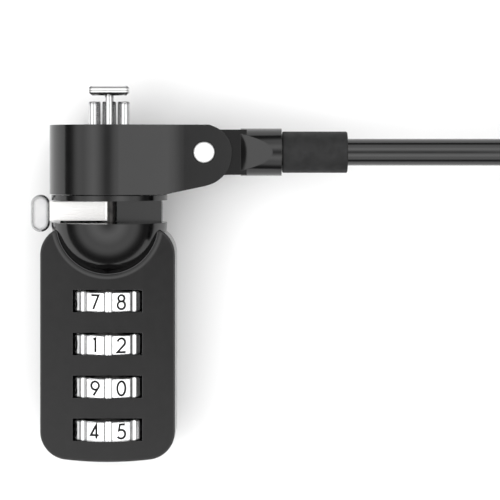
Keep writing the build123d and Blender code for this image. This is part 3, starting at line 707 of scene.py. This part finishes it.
def digit_strokes(digit):
    """The digit's strokes in a box one unit high, centred on x = 0."""
    return {
        0: [arc(0, 0.5, 0.30, 0, 360, 0.5, 28)],
        1: [[(-0.13, 0.93), (0.03, 1.0), (0.03, 0.0)]],
        2: [arc(0, 0.71, 0.28, 170, -38) + [(-0.30, 0.0), (0.32, 0.0)]],
        3: [arc(-0.02, 0.77, 0.23, 150, -90), arc(-0.02, 0.27, 0.27, 90, -150)],
        4: [[(0.10, 0.0), (0.10, 1.0), (-0.32, 0.25), (0.28, 0.25)]],
        5: [[(0.26, 1.0), (-0.12, 1.0), (-0.18, 0.60)] + arc(-0.02, 0.31, 0.31, 122, -150)],
        6: [[(0.12, 1.0), (-0.24, 0.45)], circle(0.29, 0.29)],
        7: [[(-0.28, 1.0), (0.26, 1.0), (-0.14, 0.0)]],
        8: [circle(0.77, 0.23), circle(0.28, 0.28)],
        9: [circle(0.71, 0.29), [(0.24, 0.55), (-0.12, 0.0)]],
    }[digit]


def divided(line):
    """The line with its long runs divided, so that they can follow the round rim."""
    points = [Vector(line[0])]
    for end in line[1:]:
        start, end = points[-1], Vector(end)
        count = max(1, math.ceil((end - start).length / DIGIT_RUN))
        points += [start.lerp(end, n / count) for n in range(1, count + 1)]
    return points


def stroke_sides(line, half):
    """The two edges of a stroke of that half width along a line."""
    left, right = [], []
    closed = (line[0] - line[-1]).length < DIGIT_JOIN
    for n, here in enumerate(line):
        before = line[n - 1] if n else (line[-2] if closed else None)
        after = line[n + 1] if n + 1 < len(line) else (line[1] if closed else None)
        ways = [w.normalized() for w in (before and here - before, after and after - here) if w]
        heading = sum(ways, Vector((0, 0))).normalized()
        stretch = 1 / max(DIGIT_MITRE, heading.dot(ways[0]))
        side = Vector((-heading.y, heading.x)) * half * stretch
        left.append(here + side)
        right.append(here - side)
    return left, right


def add_digit(mesh, digit, angle, dial_y, radius):
    """Lays a digit on the dial's rim at that angle from the front, its top towards +Y."""
    def place(point, r):
        turn = angle + point.x * DIGIT_HEIGHT / radius
        y = dial_y + (point.y - 0.5) * DIGIT_HEIGHT
        return (r * math.sin(turn), y, r * math.cos(turn))

    half = DIGIT_STROKE / 2 / DIGIT_HEIGHT
    for line in digit_strokes(digit):
        left, right = stroke_sides(divided(line), half)
        rings = []
        for a, b in zip(left, right):
            rings.append([
                mesh.verts.new(place(a, radius + DIGIT_PROUD)),
                mesh.verts.new(place(b, radius + DIGIT_PROUD)),
                mesh.verts.new(place(b, radius - DIGIT_DEEP)),
                mesh.verts.new(place(a, radius - DIGIT_DEEP)),
            ])
        for first, second in zip(rings, rings[1:]):
            for k in range(4):
                m = (k + 1) % 4
                mesh.faces.new((first[k], first[m], second[m], second[k]))
        if (left[0] - left[-1]).length > DIGIT_JOIN:
            mesh.faces.new(rings[0])
            mesh.faces.new(reversed(rings[-1]))


def make_digits(dial, first, material):
    """The ten digits of a dial, as one piece, with the first of them left of the front."""
    low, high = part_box(dial)
    radius = (high.x - low.x) / 2
    dial_y = (low.y + high.y) / 2
    mesh = bmesh.new()
    for n in range(10):
        angle = math.radians(DIGIT_PITCH * (n - 0.5) + DIGIT_TURN)
        add_digit(mesh, (first + n) % 10, angle, dial_y, radius)
    bmesh.ops.remove_doubles(mesh, verts=mesh.verts, dist=DIGIT_WELD)
    bmesh.ops.recalc_face_normals(mesh, faces=mesh.faces)
    data = bpy.data.meshes.new(f"{dial}_digits")
    mesh.to_mesh(data)
    mesh.free()
    data.materials.append(material)
    digits = bpy.data.objects.new(f"{dial}_digits", data)
    bpy.context.scene.collection.objects.link(digits)
    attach(digits, dial)


def main():
    """Paints the CAD nodes and adds the cable, straps, digits and studio."""
    bpy.context.scene.view_settings.view_transform = "Standard"
    make_camera()
    finishes = paint_nodes()
    cable = make_cable(finishes["cable_jacket"])
    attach(cable, "cable")
    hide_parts("cable_run", "cable_coil", "cable_tail", "anchor_loop")
    straps = [
        make_strap(f"coil_strap_{n + 1}", angle, finishes["strap"])
        for n, angle in enumerate(STRAP_ANGLES)
    ]
    enamel = digit_enamel()
    for dial, first in LEFT_DIGITS.items():
        make_digits(dial, first, enamel)
    make_world()
    make_key_light()
    make_floor()


main()
